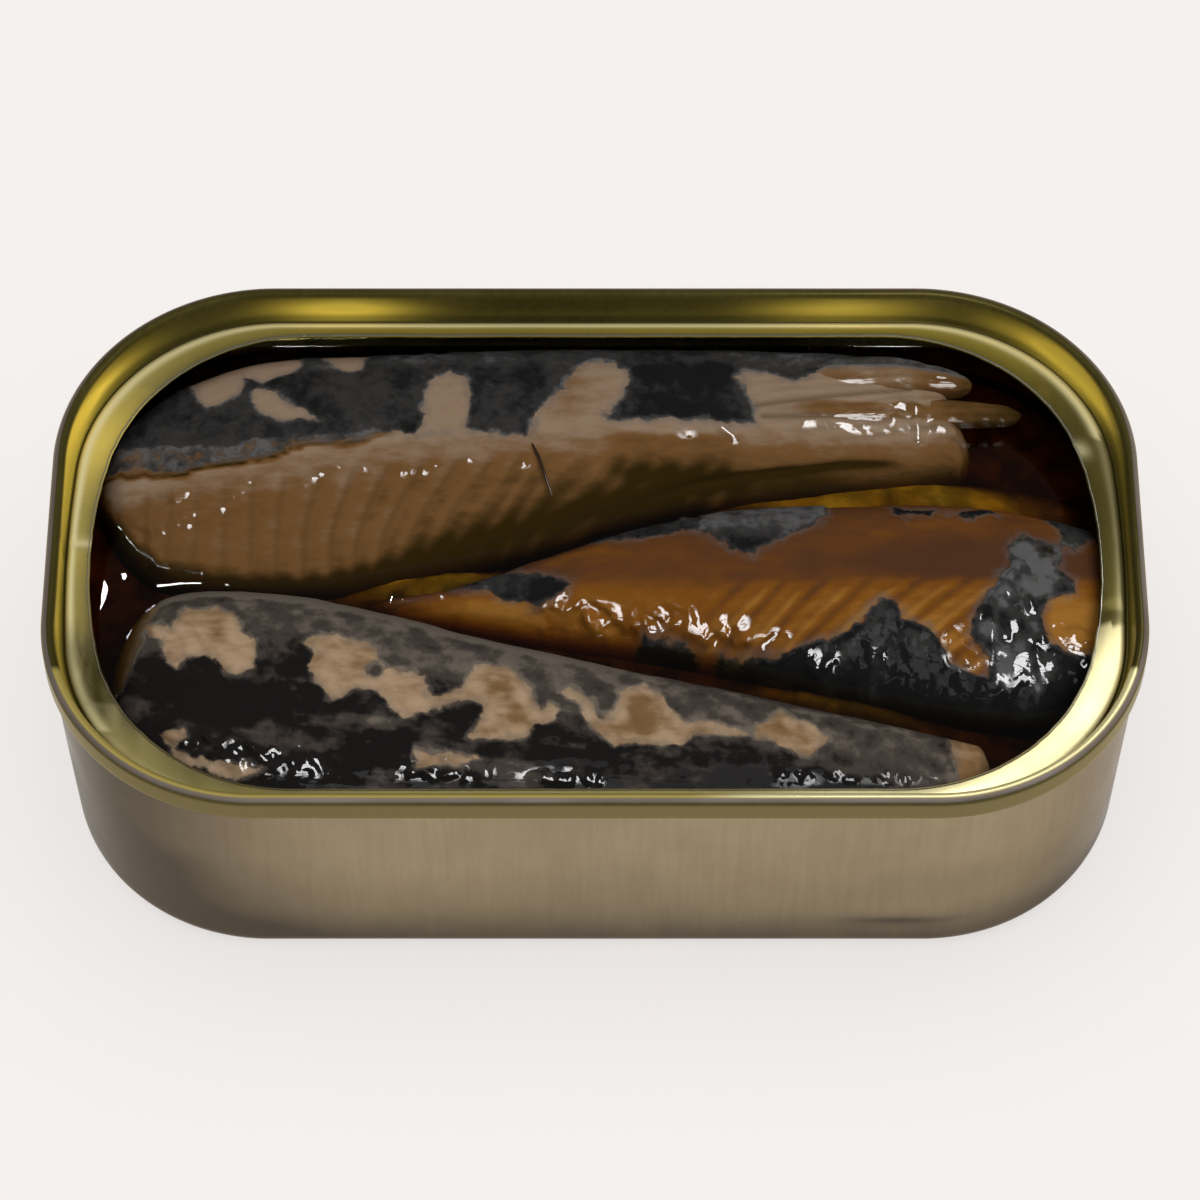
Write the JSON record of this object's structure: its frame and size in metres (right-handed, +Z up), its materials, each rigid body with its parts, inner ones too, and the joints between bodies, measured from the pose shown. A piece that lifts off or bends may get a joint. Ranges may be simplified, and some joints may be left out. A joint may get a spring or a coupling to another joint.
{
  "type": "tin of mackerel",
  "caption": "Opened low rectangular food tin with round corners, a seam ring left by its peeled lid, and mackerel pieces lying in oil.",
  "frame": {"origin": "middle of the underside, on the surface the tin stands on", "axes": "+X along the tin's length, +Y from its front to its back, +Z up"},
  "size_m": [0.1046, 0.0598, 0.029],
  "materials": {
    "drawn_tinplate": "matte tan drawn tinplate",
    "gold_lacquer": "gold food lacquer on tinplate",
    "oil": "clear amber oil",
    "fillet_back": "wet cooked fish flesh under dark skin",
    "fillet_middle": "wet cooked fish flesh with torn skin",
    "fillet_front": "wet dark fish skin with bare patches"
  },
  "bodies": {
    "root": {"tin_body": "drawn_tinplate", "end_ring": "gold_lacquer", "oil": "oil", "fillet_back": "fillet_back", "fillet_middle": "fillet_middle", "fillet_front": "fillet_front"}
  },
  "joints": []
}
